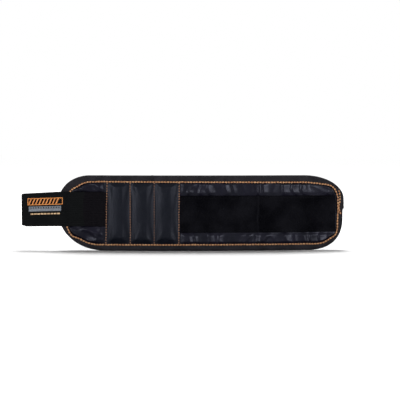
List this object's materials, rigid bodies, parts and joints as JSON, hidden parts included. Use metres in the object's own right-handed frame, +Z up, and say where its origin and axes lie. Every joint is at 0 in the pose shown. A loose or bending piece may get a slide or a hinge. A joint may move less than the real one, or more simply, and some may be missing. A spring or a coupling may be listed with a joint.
{
  "type": "magnetic wristband",
  "caption": "Wide soft wristband with three quilted magnet cells, a loop strip on its outer face and a hook tab at one end, standing on its long edge and curving gently.",
  "frame": {"origin": "middle of the bottom of the bounding box, on the surface that the band stands on", "axes": "+X along the band from the tab to the far end, +Y towards the wrist side, -Y is the outer face with the cells, +Z up across the band"},
  "size_m": [0.3884, 0.0268, 0.09],
  "materials": {
    "face_fabric": "woven nylon, slight sheen",
    "mesh_lining": "matt air mesh",
    "binding_tape": "matt woven tape",
    "loop_pile": "soft pile",
    "strap_webbing": "satin webbing",
    "hook_tape": "rows of small hooks",
    "magnet_metal": "plated",
    "carrier_plastic": "matt"
  },
  "bodies": {
    "tab_link": {"tab_strap": "strap_webbing", "hook_patch": "hook_tape"},
    "end_link": {"face_fabric_end": "face_fabric", "mesh_lining_end": "mesh_lining", "binding_tab_end": "binding_tape", "strap_anchor": "strap_webbing"},
    "cell_link_1": {"face_fabric_cell_1": "face_fabric", "mesh_lining_cell_1": "mesh_lining", "binding_top_cell_1": "binding_tape", "binding_bottom_cell_1": "binding_tape", "cell_cover_1": "face_fabric", "magnet_carrier_1": "carrier_plastic", "magnet_1_1": "magnet_metal", "magnet_1_2": "magnet_metal", "magnet_1_3": "magnet_metal", "magnet_1_4": "magnet_metal", "magnet_1_5": "magnet_metal"},
    "cell_link_2": {"face_fabric_cell_2": "face_fabric", "mesh_lining_cell_2": "mesh_lining", "binding_top_cell_2": "binding_tape", "binding_bottom_cell_2": "binding_tape", "cell_cover_2": "face_fabric", "magnet_carrier_2": "carrier_plastic", "magnet_2_1": "magnet_metal", "magnet_2_2": "magnet_metal", "magnet_2_3": "magnet_metal", "magnet_2_4": "magnet_metal", "magnet_2_5": "magnet_metal"},
    "cell_link_3": {"face_fabric_cell_3": "face_fabric", "mesh_lining_cell_3": "mesh_lining", "binding_top_cell_3": "binding_tape", "binding_bottom_cell_3": "binding_tape", "cell_cover_3": "face_fabric", "magnet_carrier_3": "carrier_plastic", "magnet_3_1": "magnet_metal", "magnet_3_2": "magnet_metal", "magnet_3_3": "magnet_metal", "magnet_3_4": "magnet_metal", "magnet_3_5": "magnet_metal"},
    "loop_link_1": {"face_fabric_loop_1": "face_fabric", "mesh_lining_loop_1": "mesh_lining", "binding_top_loop_1": "binding_tape", "binding_bottom_loop_1": "binding_tape", "loop_strip_1": "loop_pile"},
    "loop_link_2": {"face_fabric_loop_2": "face_fabric", "mesh_lining_loop_2": "mesh_lining", "binding_top_loop_2": "binding_tape", "binding_bottom_loop_2": "binding_tape", "loop_strip_2": "loop_pile"},
    "loop_link_3": {"face_fabric_loop_3": "face_fabric", "mesh_lining_loop_3": "mesh_lining", "binding_top_loop_3": "binding_tape", "binding_bottom_loop_3": "binding_tape", "loop_strip_3": "loop_pile"},
    "loop_link_4": {"face_fabric_loop_4": "face_fabric", "mesh_lining_loop_4": "mesh_lining", "binding_far_end_upper": "binding_tape", "binding_far_end_lower": "binding_tape", "loop_strip_4": "loop_pile"}
  },
  "joints": [
    {"name": "wrap", "type": "hinge", "parent": "cell_link_3", "child": "loop_link_1", "pos_m": [-0.00492, -0.00981, 0.045], "axis": [0, 0, 1], "range_deg": [-2.18, 38.2]},
    {"name": "bend_loop_2", "type": "hinge", "parent": "loop_link_1", "child": "loop_link_2", "pos_m": [0.04508, -0.00885, 0.045], "axis": [0, 0, 1], "range_deg": [-2.82, 49.16]},
    {"name": "bend_loop_3", "type": "hinge", "parent": "loop_link_2", "child": "loop_link_3", "pos_m": [0.09496, -0.00545, 0.045], "axis": [0, 0, 1], "range_deg": [-2.86, 49.95]},
    {"name": "bend_loop_4", "type": "hinge", "parent": "loop_link_3", "child": "loop_link_4", "pos_m": [0.14461, 0.00044, 0.045], "axis": [0, 0, 1], "range_deg": [-2.91, 50.74]},
    {"name": "bend_cell_2", "type": "hinge", "parent": "cell_link_3", "child": "cell_link_2", "pos_m": [-0.03391, -0.00926, 0.045], "axis": [0, 0, -1], "range_deg": [-1.6, 27.79]},
    {"name": "bend_cell_1", "type": "hinge", "parent": "cell_link_2", "child": "cell_link_1", "pos_m": [-0.06288, -0.0079, 0.045], "axis": [0, 0, -1], "range_deg": [-1.58, 27.52]},
    {"name": "bend_end", "type": "hinge", "parent": "cell_link_1", "child": "end_link", "pos_m": [-0.0918, -0.00576, 0.045], "axis": [0, 0, -1], "range_deg": [-2.35, 40.88]},
    {"name": "tab_fold", "type": "hinge", "parent": "end_link", "child": "tab_link", "pos_m": [-0.15084, -0.00096, 0.045], "axis": [0, 0, -1], "range_deg": [-90, 55]}
  ],
  "couplings": [
    {"joint": "bend_loop_2", "follows": "wrap", "ratio": 1.2866},
    {"joint": "bend_loop_3", "follows": "wrap", "ratio": 1.3073},
    {"joint": "bend_loop_4", "follows": "wrap", "ratio": 1.328},
    {"joint": "bend_cell_2", "follows": "wrap", "ratio": 0.7272},
    {"joint": "bend_cell_1", "follows": "wrap", "ratio": 0.72023},
    {"joint": "bend_end", "follows": "wrap", "ratio": 1.0699}
  ]
}
